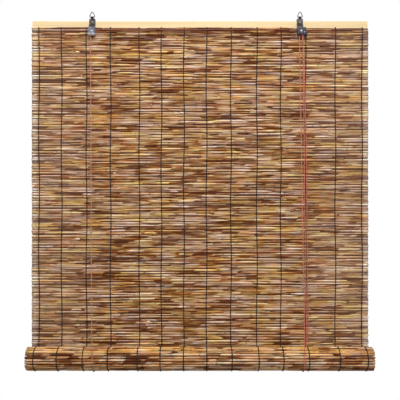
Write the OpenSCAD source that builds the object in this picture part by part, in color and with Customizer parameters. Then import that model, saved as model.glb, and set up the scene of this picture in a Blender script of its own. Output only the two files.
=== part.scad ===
// Bamboo roll-up blind, hung by two strap hangers, lower end rolled up in two cord slings
// X runs across the blind, -Y is the room side, Z is up
// The origin is the centre of the head rail's back face, which lies against the wall

/* [Mat] */
// Width of the reed mat
mat_w = 900; // [700:10:1500]
// Diameter of one reed
reed_d = 6; // [4.5:0.5:7]
// Open space between neighbouring reeds
reed_gap = 1; // [0.6:0.1:2]
// Thickness of a binding thread
thread_d = 1; // [0.6:0.1:1.4]
// Width of a binding thread as it lies on the reeds
thread_w = 2.8; // [1.6:0.2:3.6]
// Clearance of a binding thread from the reeds
thread_seat = 0.15; // [0.05:0.05:0.3]
// Distance of the see-through slits from the binding threads
slit_margin = 6; // [4:1:12]

/* [Head rail] */
// Height of the head rail
rail_h = 30; // [26:1:50]
// Thickness of the head rail
rail_t = 12; // [10:1:20]
// Radius of the head rail's long edges
rail_edge_r = 2; // [0.5:0.5:4]
// How far each end of the head rail stops short of the mat's edge
rail_inset = 0; // [0:1:10]
// How far the mat laps over the front of the head rail
mat_lap = 11; // [9:1:14]
// Wire of the staples that hold the mat on the head rail
staple_d = 0.7; // [0.5:0.1:0.8]
// Depth of the staples in the head rail
staple_depth = 7; // [4:1:9]

/* [Roll] */
// Height of the head rail's middle above the axis of the roll
roll_drop = 881; // [500:1:1800]
// Diameter of the bottom rod in the core of the roll
rod_d = 13; // [10:1:30]
// Turns of mat that lie between the rod and the outer turn
roll_wraps = 3; // [1:1:4]
// Space between neighbouring turns
turn_gap = 0.6; // [0.4:0.1:1.5]
// How far the bottom rod stands out at each end of the roll
rod_reach = 4; // [0:1:15]

/* [Hangers] */
// Distance of the left hanger from the middle of the blind
left_hanger_x = 289; // [150:1:340]
// Distance of the right hanger from the middle of the blind
right_hanger_x = 268; // [150:1:340]
// Width of the strap
strap_w = 17; // [16:1:24]
// Sheet thickness of the strap
strap_t = 1.2; // [0.8:0.1:1.6]
// Height of the strap's shoulders above the head rail
strap_rise = 6; // [4:1:12]
// Radius of the strap's corners
strap_corner_r = 4; // [1:0.5:6]
// Lowest point of the strap below the head rail's middle
strap_drop = 28; // [28:1:40]
// Top of the strap's front cheek below the head rail's middle
cheek_drop = 7; // [6:0.5:10]
// Width of the rolled eye at the top of the strap
eye_w = 7.6; // [5:0.2:8]
// Extra width of the cord lock's cheeks at their upper right corner
lock_flare_top = 2; // [1:0.5:6]
// Extra width of the cord lock's cheeks at their lower right corner
lock_flare_bottom = 9; // [7:0.5:14]
// Wire of the triangular rings
ring_wire = 2.2; // [1.6:0.1:2.4]
// Height of a ring between the middles of its wires
ring_h = 14; // [13:1:24]
// Width of a ring between the middles of its wires
ring_w = 13.4; // [13:0.2:20]
// Radius of a ring's corners at the middle of the wire
ring_corner_r = 2.6; // [2:0.1:2.6]

/* [Screws] */
// Diameter of a hanger screw
screw_d = 3.6; // [3:0.1:4.5]
// Diameter of a hanger screw's round head
screw_head_d = 8; // [6.5:0.5:9]
// Height of a hanger screw's round head
screw_head_h = 2.6; // [2:0.1:3]
// Depth of a hanger screw in the head rail
screw_depth = 9; // [6:1:9]
// Height of the hanger screws above the head rail's middle
screw_z = 10; // [9:0.5:10]

/* [Pulleys] */
// Axles of the pulley wheels below the head rail's middle
axle_drop = 16.5; // [16:0.5:18]
// Diameter of an axle rivet
axle_d = 3; // [2:0.2:3.2]
// Diameter of the axle rivets' heads
axle_head_d = 5.2; // [4.5:0.1:6]
// Height of the axle rivets' heads
axle_head_h = 1.2; // [0.8:0.1:1.5]
// Radius of a wheel at the middle of its cord
wheel_r = 4.2; // [4:0.1:4.6]
// Height of a wheel's rim outside the middle of its cord
wheel_rim = 1.2; // [0.8:0.1:1.4]
// Spacing of the two grooves in the cord lock's wheel
groove_pitch = 3.4; // [2.8:0.1:4]
// Diameter of the cord lock's roller
roller_d = 4.4; // [3.6:0.2:4.6]
// Diameter of the roller's two end pins
roller_pin_d = 1.8; // [1.2:0.2:2]
// Travel of the roller along its slots
roller_travel = 3.5; // [2:0.5:3.5]
// Lean of the roller's slots from the vertical
roller_lean = 35; // [25:1:45]

/* [Cords] */
// Diameter of the lift and pull cords
cord_d = 2.6; // [1.8:0.1:2.8]
// Left sling's distance from the middle of the blind
left_sling_x = 277; // [150:1:340]
// Right sling's distance from the middle of the blind
right_sling_x = 269; // [150:1:340]
// Diameter of the stop knots on top of the head rail
stop_knot_d = 6.4; // [5:0.2:7]
// Diameter of the knot that joins the pull cords
pull_knot_d = 9; // [7:0.5:11]
// How far the pull cords' knot hangs to the right of the lock's wheel
pull_knot_side = 11; // [9:0.5:16]

/* [Fits] */
// Clearance between pieces that pass or slide
fit_gap = 0.3; // [0.2:0.05:0.4]
// Radial clearance of a turning pin or wheel
run_gap = 0.08; // [0.05:0.01:0.1]

/* [Hidden] */
$fn = 48;

// Overrun of every cut past the face that it opens
over = 1;
// Sides of a cord's tube
cord_sides = 8;
// Sides of the rings' wire, and steps of each of its bends
wire_sides = 12;
bend_steps = 6;

// Colours of the pieces
pale_wood = "#f0d8ac";
reed_tan = "#ab8358";
thread_brown = "#33241a";
steel_grey = "#85868a";
bright_steel = "#b9bcc2";
cord_red = "#b4594c";

// Binding threads, as shares of the mat's half width from its middle
thread_shares = [
  -0.956, -0.822, -0.674, -0.531, -0.36, -0.229, -0.095,
  0.039, 0.184, 0.338, 0.48, 0.627, 0.804, 0.962
];
// Rows of slits, as shares of the mat's height, below the row that the staples use
slit_row_shares = [0.13, 0.26, 0.39, 0.52, 0.65, 0.78, 0.91];
// Share of the open space between two reeds that a slit takes
slit_share = 0.9;
// Bays between binding threads that have a staple
staple_bays = [0, 2, 4, 6, 8, 10, 12];
// The pull cords on their way from the lock to their knot: shares of the way down and across,
// and their distance from the mat in cord thicknesses
pull_front_shares = [
  [0.03, 0.06, 2.7], [0.1, 0.15, 2.5], [0.2, 0.25, 2.3], [0.33, 0.34, 2.3], [0.45, 0.43, 2.3],
  [0.58, 0.53, 2.3], [0.7, 0.62, 2.3], [0.82, 0.72, 2.3], [0.92, 0.81, 2.3], [0.975, 0.87, 2.2]
];
pull_rear_shares = [
  [0.03, 0.15, 1.2], [0.1, 0.43, 1.1], [0.2, 0.62, 1], [0.33, 0.81, 1], [0.45, 0.96, 1],
  [0.58, 1.08, 1], [0.7, 1.18, 1], [0.82, 1.26, 1], [0.92, 1.3, 1.1], [0.975, 1.25, 1.4]
];
// Shares of the way across at which the pull cords meet their knot
pull_end_shares = [0.88, 1.2];
// Corner angles of one side of a reed's twelve-sided section
reed_angles = [75, 45, 15, -15, -45, -75];

// The mat hangs on the front of the head rail, its back threads between the two
thread_stack = thread_d + 2 * thread_seat;
mat_y = -(rail_t + thread_stack + reed_d / 2);
mat_top = mat_lap - rail_h / 2;
mat_h = mat_top + roll_drop;
reed_n = round(mat_h / (reed_d + reed_gap));
reed_pitch = mat_h / reed_n;
reed_corner_r = reed_d / 2 / cos(15);
mat_front = mat_y - reed_d / 2 - thread_stack;
thread_xs = [for (s = thread_shares) s * mat_w / 2];
bay_n = len(thread_xs) - 1;
slit_h = slit_share * (reed_pitch - reed_d);
// Front threads end above the nip between the mat and the roll
nip_h = 2 * reed_d;

// The roll: each turn keeps its radius through the first stretch, then steps inside the next one
turn_pitch = reed_d + turn_gap;
roll_r = rod_d / 2 + fit_gap + reed_d / 2 + roll_wraps * turn_pitch;
axis_y = mat_y - roll_r;
axis_z = -roll_drop;
step_start = 200;
step_end = 340;
roll_end = 360 * roll_wraps + step_start;
thread_end = 330;
seam_turn = fit_gap / roll_r * 180 / PI;

// The hangers' cheeks stand just clear of the mat's front threads
cheek_back = mat_front - fit_gap;
joggle_z = mat_top + fit_gap + (-rail_t - cheek_back);
eye_r = ring_wire / 2 + run_gap;
eye_outer_r = eye_r + strap_t;
eye_y = -rail_t - eye_outer_r;
eye_z = rail_h / 2 + strap_rise + eye_outer_r + strap_t / 2;
left_x = -left_hanger_x;
right_x = right_hanger_x;
axle_z = -axle_drop;
left_axle_x = left_x + strap_t;
right_axle_x = right_x + strap_t;
left_wheel_w = groove_pitch;
right_wheel_w = 2 * groove_pitch;
left_gap = left_wheel_w + 2 * fit_gap;
right_gap = right_wheel_w + 2 * fit_gap;
wheel_back = cheek_back - strap_t - fit_gap;
rear_groove_y = wheel_back - groove_pitch / 2;
front_groove_y = rear_groove_y - groove_pitch;
pull_x = right_axle_x + wheel_r;
// The lift cords leave their grooves straight down
leave_z = axle_z - wheel_r - wheel_rim;
cord_slot_w = cord_d + wheel_rim;
roller_x = pull_x + cord_d / 2 + fit_gap + roller_d / 2;
roller_z = axle_z - roller_d / 2 - fit_gap;
roller_way = [sin(roller_lean), 0, -cos(roller_lean)];

// Cords: the slings lie on the reeds, the back cords enter the head rail behind the straps
sling_r = roll_r + reed_d / 2 + fit_gap + cord_d / 2;
hole_side = strap_w / 3;
hole_d = cord_d + 2 * fit_gap;
left_hole_x = left_x - hole_side;
right_hole_x = right_x - hole_side;
knot_z = rail_h / 2 + stop_knot_d / 3;
// The pull knot rests in the valley between the mat and the roll
knot_reach = roll_r + reed_d / 2 + thread_stack + fit_gap + pull_knot_d / 2;
pull_knot_y = mat_front - fit_gap - pull_knot_d / 2;
pull_knot_z = axis_z + sqrt(pow(knot_reach, 2) - pow(pull_knot_y - axis_y, 2));
pull_knot_x = pull_x + pull_knot_side;
pull_knot_top = pull_knot_z + pull_knot_d / 3;
// Routes of the two pull cords from the lock's wheel to their knot
pull_mouth_z = -strap_drop - cord_d;
pull_end_z = pull_knot_top + fit_gap;
function pull_route(groove_y, shares, end_share) = concat(
  [[pull_x, groove_y, axle_z - fit_gap], [pull_x, groove_y, pull_mouth_z]],
  [for (s = shares) [
    pull_x + s[1] * pull_knot_side, mat_front - s[2] * cord_d,
    pull_mouth_z + s[0] * (pull_end_z - pull_mouth_z)
  ]],
  [[pull_x + end_share * pull_knot_side, pull_knot_y, pull_end_z]]
);

// A flat section in Y and Z, drawn out along X and centred there
module along_x(width) {
  translate([-width / 2, 0, 0])
    rotate([90, 0, 90])
      linear_extrude(width)
        children();
}

// A flat outline in X and Z, drawn out towards the room
module along_y(depth) {
  rotate([90, 0, 0])
    linear_extrude(depth)
      children();
}

// A round bar along Y, its back end at the given point
module pin(back, d, length) {
  translate(back)
    rotate([90, 0, 0])
      cylinder(d = d, h = length);
}

// A rectangle between two corners
module span(low, high) {
  translate(low)
    square(high - low);
}

// A round-cornered rectangle between two corners
module round_span(low, high, r) {
  span([low.x + r, low.y], [high.x - r, high.y]);
  span([low.x, low.y + r], [high.x, high.y - r]);
  for (x = [low.x + r, high.x - r], y = [low.y + r, high.y - r])
    translate([x, y])
      circle(r);
}

// A round tube: rings swept along a route, with flat ends or closed on itself
function unit(v) = v / norm(v);
function way(route, i, closed) =
  let (n = len(route))
  closed
    ? unit(route[(i + 1) % n] - route[(i + n - 1) % n])
    : unit(route[min(i + 1, n - 1)] - route[max(i - 1, 0)]);
function ring(p, t, side, d, sides) =
  let (u = unit(cross(t, side)), w = cross(t, u))
  [for (k = [0 : sides - 1])
    p + d / 2 * (cos(360 * k / sides) * u + sin(360 * k / sides) * w)];

module tube(route, side, d, sides, closed) {
  n = len(route);
  rings = [for (i = [0 : n - 1]) each ring(route[i], way(route, i, closed), side, d, sides)];
  walls = [
    for (i = [0 : closed ? n - 1 : n - 2], k = [0 : sides - 1])
      let (a = i * sides, b = (i + 1) % n * sides, next = (k + 1) % sides)
      [a + k, b + k, b + next, a + next]
  ];
  start = [[for (k = [0 : sides - 1]) k]];
  end = [[for (k = [sides - 1 : -1 : 0]) (n - 1) * sides + k]];
  polyhedron(rings, closed ? walls : concat(start, walls, end));
}

module cord(route, side) {
  tube(route, side, cord_d, cord_sides, false);
}

// Points of an arc in the X and Z plane at depth y, from angle a to angle b
function wheel_arc(x, y, a, b, n) =
  [for (i = [0 : n])
    let (t = a + (b - a) * i / n)
    [x + wheel_r * cos(t), y, axle_z + wheel_r * sin(t)]];

// Where a lift cord leaves its sling, as the turn from the back of the roll
function sling_turn(groove_y) =
  let (dy = groove_y - axis_y, dz = leave_z - axis_z)
  360 - atan2(dz, dy) - acos(sling_r / norm([dy, dz]));
function sling_point(x, turn) = [x, axis_y + sling_r * cos(turn), axis_z - sling_r * sin(turn)];

// Radius of the rolled mat at a turn, counted from the back, down and round to the front
function step_share(a) =
  let (s = min(1, max(0, (a - step_start) / (step_end - step_start))))
  s * s * (3 - 2 * s);
function turn_r(a) = roll_r - turn_pitch * (floor(a / 360) + step_share(a % 360));
function next_turn(a) = a + reed_pitch / turn_r(a) * 180 / PI;
function polar(r, a) = [axis_y + r * cos(a), axis_z - r * sin(a)];
reed_turns = [
  for (a = seam_turn + reed_pitch / roll_r * 90 / PI; a < roll_end; a = next_turn(a)) a
];

// One side of a reed on the roll, outside for side 1 and inside for side -1
function roll_reed(a, side) =
  [for (c = reed_angles)
    polar(turn_r(a), a) + reed_corner_r * (
      side * cos(c) * [cos(a), -sin(a)] + sin(c) * [sin(a), cos(a)]
    )];

function mat_reed(i, side) =
  [for (c = reed_angles)
    [mat_y + side * reed_corner_r * cos(c), mat_top - (i + 0.5) * reed_pitch + reed_corner_r * sin(c)]];

function reversed(list) = [for (i = [len(list) - 1 : -1 : 0]) list[i]];

// Head rail: a planed lath with eased edges, drilled for screws, cords and staples
module headrail() {
  color(pale_wood)
    difference() {
      along_x(mat_w - 2 * rail_inset)
        round_span([-rail_t, -rail_h / 2], [0, rail_h / 2], rail_edge_r);
      for (x = [left_x, right_x])
        pin([x, screw_depth - rail_t, screw_z], screw_d + 2 * run_gap, rail_t);
      for (x = [left_hole_x, right_hole_x])
        translate([x, -rail_t / 2, -rail_h / 2 - over])
          cylinder(d = hole_d, h = rail_h + 2 * over);
      for (b = staple_bays, side = [0, 1])
        pin([bay_middle(b), staple_depth - rail_t, staple_leg_z(side)], staple_d + 2 * run_gap, rail_t);
    }
}

function bay_middle(b) = (thread_xs[b] + thread_xs[b + 1]) / 2;
function staple_leg_z(side) = mat_top - side * reed_pitch;

// Reed mat: round reeds on a thin web, slit open in rows between the binding threads
module reed_mat() {
  front = [for (i = [0 : reed_n - 1]) each mat_reed(i, -1)];
  back = [for (i = [0 : reed_n - 1]) each mat_reed(i, 1)];
  rows = concat([1], [for (s = slit_row_shares) round(s * reed_n)]);
  color(reed_tan)
    difference() {
      along_x(mat_w)
        polygon(concat(front, reversed(back)));
      for (row = rows, b = [0 : bay_n - 1])
        translate([thread_xs[b] + slit_margin, mat_y - reed_d / 2, mat_top - row * reed_pitch - slit_h / 2])
          cube([thread_xs[b + 1] - thread_xs[b] - 2 * slit_margin, reed_d, slit_h]);
    }
}

// Binding threads of the hanging mat, one on each face
module mat_threads() {
  front = mat_y - reed_d / 2 - thread_seat;
  back = mat_y + reed_d / 2 + thread_seat;
  color(thread_brown)
    for (x = thread_xs)
      translate([x, 0, 0])
        along_x(thread_w) {
          span([front - thread_d, axis_z + nip_h], [front, mat_top]);
          span([back, axis_z + fit_gap], [back + thread_d, mat_top]);
        }
}

// Wire staples over the first reed, their legs in the head rail
module mat_staples() {
  crown_y = mat_y - reed_d / 2 - thread_seat;
  leg = staple_depth - rail_t - crown_y + staple_d;
  color(bright_steel)
    for (b = staple_bays)
      translate([bay_middle(b), 0, 0]) {
        for (side = [0, 1])
          pin([0, staple_depth - rail_t, staple_leg_z(side)], staple_d, leg);
        translate([0, crown_y - staple_d / 2, staple_leg_z(1)])
          cylinder(d = staple_d, h = reed_pitch);
      }
}

// The rolled end of the mat: all its turns in one spiral
module reed_roll() {
  outside = [for (a = reed_turns) each roll_reed(a, 1)];
  inside = [for (a = reed_turns) each roll_reed(a, -1)];
  color(reed_tan)
    along_x(mat_w)
      polygon(concat(outside, reversed(inside)));
}

// Binding threads round the outer turn of the roll
module roll_threads() {
  turns = [for (a = reed_turns) if (a < thread_end) a];
  low = reed_d / 2 + 2 * thread_seat;
  inner = [for (a = turns) polar(turn_r(a) + low, a)];
  outer = [for (a = turns) polar(turn_r(a) + low + thread_d, a)];
  color(thread_brown)
    for (x = thread_xs)
      translate([x, 0, 0])
        along_x(thread_w)
          polygon(concat(outer, reversed(inner)));
}

// Bottom rod in the core of the roll
module bottom_rod() {
  length = mat_w + 2 * rod_reach;
  color(pale_wood)
    translate([-length / 2, axis_y, axis_z])
      rotate([0, 90, 0])
        cylinder(d = rod_d, h = length);
}

// Section of a strap: plate on the rail, joggle over the mat, back cheek, bend and front cheek
module strap_section(gap) {
  bend_y = cheek_back - strap_t - gap / 2;
  bend_r = gap / 2 + strap_t;
  bend_z = bend_r - strap_drop;
  low_z = joggle_z + rail_t + cheek_back;
  miter = strap_t * [-1, tan(22.5)];
  span([-rail_t - strap_t, joggle_z], [-rail_t, rail_h / 2 + strap_rise]);
  polygon([
    [-rail_t, joggle_z], [cheek_back, low_z], [cheek_back - strap_t, low_z],
    [cheek_back, low_z] + miter, [-rail_t, joggle_z] + miter
  ]);
  span([cheek_back - strap_t, bend_z], [cheek_back, low_z]);
  span([bend_y - bend_r, bend_z], [bend_y - gap / 2, -cheek_drop]);
  difference() {
    translate([bend_y, bend_z])
      circle(bend_r);
    translate([bend_y, bend_z])
      circle(gap / 2);
    span([bend_y - bend_r - over, bend_z], [bend_y + bend_r + over, bend_z + bend_r + over]);
  }
}

// Section of the rolled eye that holds the ring
module eye_section() {
  difference() {
    union() {
      span([-rail_t - strap_t, rail_h / 2 + strap_rise - strap_t], [-rail_t, eye_z]);
      translate([eye_y, eye_z])
        circle(eye_outer_r);
    }
    translate([eye_y, eye_z])
      circle(eye_r);
  }
}

// One hanger: a single strap of sheet steel, cut to outline, folded and drilled
// flare widens the cheeks at the right, slots are the places of its cord slots
module hanger(x, axle_x, gap, flare, slots) {
  half = strap_w / 2;
  bend_z = gap / 2 + strap_t - strap_drop;
  deep = -cheek_back + gap + 2 * strap_t + over;
  difference() {
    translate([x, 0, 0]) {
      intersection() {
        along_x(2 * strap_w + 2 * lock_flare_bottom)
          strap_section(gap);
        along_y(deep) {
          round_span([-half, -strap_drop], [half, rail_h / 2 + strap_rise], strap_corner_r);
          polygon([
            [-half, -cheek_drop], [half + flare[0], -cheek_drop],
            [half + flare[1], bend_z], [half + flare[1], -strap_drop - over], [-half, -strap_drop - over]
          ]);
        }
      }
      along_x(eye_w)
        eye_section();
    }
    pin([x, 0, screw_z], screw_d + 2 * fit_gap, deep);
    pin([axle_x, 0, axle_z], axle_d + 2 * run_gap, deep);
    for (s = slots)
      translate([s - cord_slot_w / 2, -deep, -strap_drop - over])
        cube([cord_slot_w, deep, bend_z + strap_drop + over]);
  }
}

module left_hanger() {
  color(steel_grey)
    hanger(left_x, left_axle_x, left_gap, [0, 0], [left_axle_x - wheel_r]);
}

// The right hanger is the cord lock: its cheeks flare to carry the roller's slots
module right_hanger() {
  deep = -cheek_back + right_gap + 2 * strap_t + over;
  color(steel_grey)
    difference() {
      hanger(
        right_x, right_axle_x, right_gap, [lock_flare_top, lock_flare_bottom],
        [right_axle_x - wheel_r, pull_x]
      );
      for (s = [0, roller_travel])
        pin([roller_x, 0, roller_z] + s * roller_way, roller_pin_d + 2 * run_gap, deep);
      translate([roller_x, 0, roller_z])
        rotate([0, -roller_lean, 0])
          translate([-roller_pin_d / 2 - run_gap, -deep, -roller_travel])
            cube([roller_pin_d + 2 * run_gap, deep, roller_travel]);
    }
}

// A ring bent from wire into a triangle with its base in the strap's eye
module wire_ring(x) {
  base = ring_w / 2 - ring_corner_r;
  slope = atan2(base, ring_h - 2 * ring_corner_r);
  middle = [x, eye_y, eye_z];
  tube(concat(
    ring_bend(middle + [base, 0, ring_corner_r], -90, slope),
    ring_bend(middle + [0, 0, ring_h - ring_corner_r], slope, 180 - slope),
    ring_bend(middle + [-base, 0, ring_corner_r], 180 - slope, 270)
  ), [0, 1, 0], ring_wire, wire_sides, true);
}

// Points of one of the ring's bends, from angle a to angle b
function ring_bend(middle, a, b) =
  [for (i = [0 : bend_steps])
    let (t = a + (b - a) * i / bend_steps)
    middle + ring_corner_r * [cos(t), 0, sin(t)]];

module left_ring() {
  color(bright_steel)
    wire_ring(left_x);
}

module right_ring() {
  color(bright_steel)
    wire_ring(right_x);
}

// Round-headed wood screw with a cross slot
module hanger_screw(x) {
  seat = -rail_t - strap_t;
  dome_r = (pow(screw_head_d / 2, 2) + pow(screw_head_h, 2)) / (2 * screw_head_h);
  slot = screw_head_h / 3;
  color(bright_steel)
    translate([x, 0, screw_z])
      difference() {
        union() {
          intersection() {
            translate([0, seat - screw_head_h + dome_r, 0])
              sphere(dome_r);
            pin([0, seat, 0], screw_head_d, screw_head_h);
          }
          pin([0, screw_depth - rail_t, 0], screw_d, screw_depth + strap_t);
        }
        for (a = [0, 90])
          rotate([0, a, 0])
            translate([-screw_head_d / 4, seat - screw_head_h - over, -slot / 2])
              cube([screw_head_d / 2, over + 2 * slot, slot]);
      }
}

module left_screw() {
  hanger_screw(left_x);
}

module right_screw() {
  hanger_screw(right_x);
}

// Pulley wheel with one groove for each cord
module wheel(x, grooves) {
  width = groove_pitch * grooves;
  color(bright_steel)
    difference() {
      pin([x, wheel_back, axle_z], 2 * (wheel_r + wheel_rim), width);
      pin([x, wheel_back + over, axle_z], axle_d + 2 * run_gap, width + 2 * over);
      for (g = [0 : grooves - 1])
        translate([x, rear_groove_y - g * groove_pitch, axle_z])
          rotate([90, 0, 0])
            rotate_extrude()
              translate([wheel_r, 0])
                groove_section();
    }
}

// A groove is round at its bottom and open to the rim
module groove_section() {
  circle(d = cord_d + 2 * run_gap);
  span([0, -cord_d / 2 - run_gap], [wheel_rim + over, cord_d / 2 + run_gap]);
}

module left_wheel() {
  wheel(left_axle_x, 1);
}

module right_wheel() {
  wheel(right_axle_x, 2);
}

// Axle rivet: flush at the back, domed at the front
module axle(x, gap) {
  length = gap + 2 * strap_t;
  front = cheek_back - length;
  dome_r = (pow(axle_head_d / 2, 2) + pow(axle_head_h, 2)) / (2 * axle_head_h);
  color(bright_steel)
    translate([x, 0, axle_z]) {
      pin([0, cheek_back, 0], axle_d, length);
      intersection() {
        translate([0, front - axle_head_h + dome_r, 0])
          sphere(dome_r);
        pin([0, front, 0], axle_head_d, axle_head_h);
      }
    }
}

module left_axle() {
  axle(left_axle_x, left_gap);
}

module right_axle() {
  axle(right_axle_x, right_gap);
}

// Roller that jams the pull cords against the wheel, its end pins in the cheeks' slots
module lock_roller() {
  color(bright_steel) {
    pin([roller_x, wheel_back, roller_z], roller_d, right_wheel_w);
    pin([roller_x, cheek_back - fit_gap, roller_z], roller_pin_d, right_gap + 2 * (strap_t - fit_gap));
  }
}

// Lift cords in front of the mat, from their slings up to the wheels
module lift_cord(sling_x, wheel_x, groove_y) {
  low = sling_point(sling_x, sling_turn(groove_y));
  leave = [wheel_x - wheel_r, groove_y, leave_z];
  color(cord_red)
    cord([low + fit_gap * unit(leave - low), leave, [leave.x, leave.y, axle_z - fit_gap]], [1, 0, 0]);
}

module left_lift_cord() {
  lift_cord(-left_sling_x, left_axle_x, rear_groove_y);
}

module right_lift_cord() {
  lift_cord(right_sling_x, right_axle_x, rear_groove_y);
}

// Slings under the roll
module sling(x) {
  turn = sling_turn(rear_groove_y);
  steps = 24;
  color(cord_red)
    cord([for (i = [0 : steps]) sling_point(x, turn * i / steps)], [1, 0, 0]);
}

module left_sling() {
  sling(-left_sling_x);
}

module right_sling() {
  sling(right_sling_x);
}

// Back cords behind the mat, from their slings up through the head rail
module back_cord(sling_x, hole_x) {
  low = sling_point(sling_x, 0);
  color(cord_red)
    cord([
      low + [0, 0, fit_gap], [hole_x, -rail_t / 2, -rail_h], [hole_x, -rail_t / 2, -rail_h / 2],
      [hole_x, -rail_t / 2, rail_h / 2]
    ], [1, 0, 0]);
}

module left_back_cord() {
  back_cord(-left_sling_x, left_hole_x);
}

module right_back_cord() {
  back_cord(right_sling_x, right_hole_x);
}

// The left lift cord goes on over its wheel and across to the lock
module crossing_cord() {
  color(cord_red)
    cord(concat(
      wheel_arc(left_axle_x, rear_groove_y, 180, 90, 6),
      wheel_arc(right_axle_x, front_groove_y, 90, 0, 6)
    ), [0, 1, 0]);
}

// The right lift cord goes over the lock's wheel
module lock_cord_bend() {
  color(cord_red)
    cord(wheel_arc(right_axle_x, rear_groove_y, 180, 0, 12), [0, 1, 0]);
}

module pull_cord_front() {
  color(cord_red)
    cord(pull_route(front_groove_y, pull_front_shares, pull_end_shares[0]), [0, 1, 0]);
}

module pull_cord_rear() {
  color(cord_red)
    cord(pull_route(rear_groove_y, pull_rear_shares, pull_end_shares[1]), [0, 1, 0]);
}

// Knot that joins the ends of the pull cords
module pull_knot() {
  color(cord_red)
    difference() {
      translate([pull_knot_x, pull_knot_y, pull_knot_z])
        sphere(d = pull_knot_d);
      translate([pull_knot_x - pull_knot_d, pull_knot_y - pull_knot_d, pull_knot_top])
        cube(2 * pull_knot_d);
    }
}

// Stop knots of the back cords on top of the head rail
module stop_knot(x) {
  color(cord_red)
    difference() {
      translate([x, -rail_t / 2, knot_z])
        sphere(d = stop_knot_d);
      translate([x - stop_knot_d, -rail_t / 2 - stop_knot_d, rail_h / 2 - 2 * stop_knot_d])
        cube(2 * stop_knot_d);
    }
}

module left_stop_knot() {
  stop_knot(left_hole_x);
}

module right_stop_knot() {
  stop_knot(right_hole_x);
}

headrail();
reed_mat();
mat_threads();
mat_staples();
reed_roll();
roll_threads();
bottom_rod();
left_hanger();
right_hanger();
left_ring();
right_ring();
left_screw();
right_screw();
left_wheel();
right_wheel();
left_axle();
right_axle();
lock_roller();
left_lift_cord();
right_lift_cord();
left_sling();
right_sling();
left_back_cord();
right_back_cord();
crossing_cord();
lock_cord_bend();
pull_cord_front();
pull_cord_rear();
pull_knot();
left_stop_knot();
right_stop_knot();
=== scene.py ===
# %% [markdown]
# # A bamboo roll-up blind
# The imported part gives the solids, the moving bodies and the frame: metres, X across the blind, -Y towards
# the room, Z up, with the origin in the middle of the head rail's back face. This lesson lays real reeds,
# threads and cords over those solids, and leaves each piece on the body that carries it.

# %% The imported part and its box
import math

import bpy
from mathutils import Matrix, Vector


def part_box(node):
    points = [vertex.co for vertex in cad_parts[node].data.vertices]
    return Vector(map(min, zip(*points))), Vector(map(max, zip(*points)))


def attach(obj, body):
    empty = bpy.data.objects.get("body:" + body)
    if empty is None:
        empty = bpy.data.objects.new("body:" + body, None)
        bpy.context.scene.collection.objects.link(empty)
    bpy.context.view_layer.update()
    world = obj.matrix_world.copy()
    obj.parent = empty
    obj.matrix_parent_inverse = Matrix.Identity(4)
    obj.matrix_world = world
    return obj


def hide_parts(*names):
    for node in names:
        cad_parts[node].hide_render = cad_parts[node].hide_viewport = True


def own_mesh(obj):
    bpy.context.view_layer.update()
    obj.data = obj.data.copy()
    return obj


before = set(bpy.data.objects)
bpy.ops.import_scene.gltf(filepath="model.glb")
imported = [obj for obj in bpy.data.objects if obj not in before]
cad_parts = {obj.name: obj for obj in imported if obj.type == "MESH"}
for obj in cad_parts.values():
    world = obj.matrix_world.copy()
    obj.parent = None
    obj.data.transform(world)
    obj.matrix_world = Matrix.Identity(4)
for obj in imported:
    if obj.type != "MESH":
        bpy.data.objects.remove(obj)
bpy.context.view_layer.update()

# %% [markdown]
# ## Camera
# The photograph is taken straight on, from about one and a half metres. The roll looks a little wider than
# the mat only because it is nearer, and that difference gives the distance. A camera that looks along +Y
# with that focal length puts the edges within about a pixel of the photograph's.

# %% Camera
PHOTO_PX = 400
FOCAL_PX = 568.5
EYE = (0.0, -1.539, -0.466)

camera_data = bpy.data.cameras.new("photo_camera")
camera_data.sensor_width = 36
camera_data.lens = FOCAL_PX / PHOTO_PX * camera_data.sensor_width
camera = bpy.data.objects.new("photo_camera", camera_data)
camera.location = EYE
camera.rotation_euler = (math.radians(90), 0, 0)
bpy.context.scene.collection.objects.link(camera)
bpy.context.scene.camera = camera
print("lens", round(camera_data.lens, 2), "mm")

# %% [markdown]
# ## Small helpers
# Colours are written as a paint chart has them and turned into linear light. A node helper makes a node,
# sets its options and joins its inputs in one line. The others stand for steps that come back often, so
# that each tree below reads as a list of steps.

# %% Helpers for colours and nodes
MM = 0.001


def chart(*levels):
    """A colour of the chart, 0 to 255, as linear light."""
    light = [v / 255 / 12.92 if v < 11 else ((v / 255 + 0.055) / 1.055) ** 2.4 for v in levels]
    return (*light, 1.0)


def add_node(tree, kind, options=None, **inputs):
    """A node with its options set; an input is a value or another node's output.

    In the name of an input _ stands for a space, and i2 is the input with that number.
    """
    made = tree.nodes.new(kind)
    for key, value in (options or {}).items():
        setattr(made, key, value)
    for key, value in inputs.items():
        numbered = key[0] == "i" and key[1:].isdigit()
        socket = made.inputs[int(key[1:]) if numbered else key.replace("_", " ")]
        if isinstance(value, bpy.types.NodeSocket):
            tree.links.new(value, socket)
        else:
            socket.default_value = value
    return made


def sums(tree, operation, first, second=0.0, third=0.0):
    """One step of arithmetic on fields."""
    made = add_node(tree, "ShaderNodeMath", {"operation": operation}, i0=first, i1=second, i2=third)
    return made.outputs[0]


def times(tree, first, second):
    """The product of two fields."""
    return sums(tree, "MULTIPLY", first, second)


def ranged(tree, value, low, high, start=0.0, end=1.0, way="LINEAR"):
    """A value between low and high, turned into one between start and end."""
    made = add_node(tree, "ShaderNodeMapRange", {"interpolation_type": way}, Value=value,
                    i1=low, i2=high, i3=start, i4=end)
    return made.outputs[0]


def vector(tree, x=0.0, y=0.0, z=0.0):
    """Three fields as one vector."""
    return add_node(tree, "ShaderNodeCombineXYZ", X=x, Y=y, Z=z).outputs[0]


def parts_of(tree, place):
    """The three parts of a vector, by their letters."""
    return add_node(tree, "ShaderNodeSeparateXYZ", Vector=place).outputs


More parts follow.
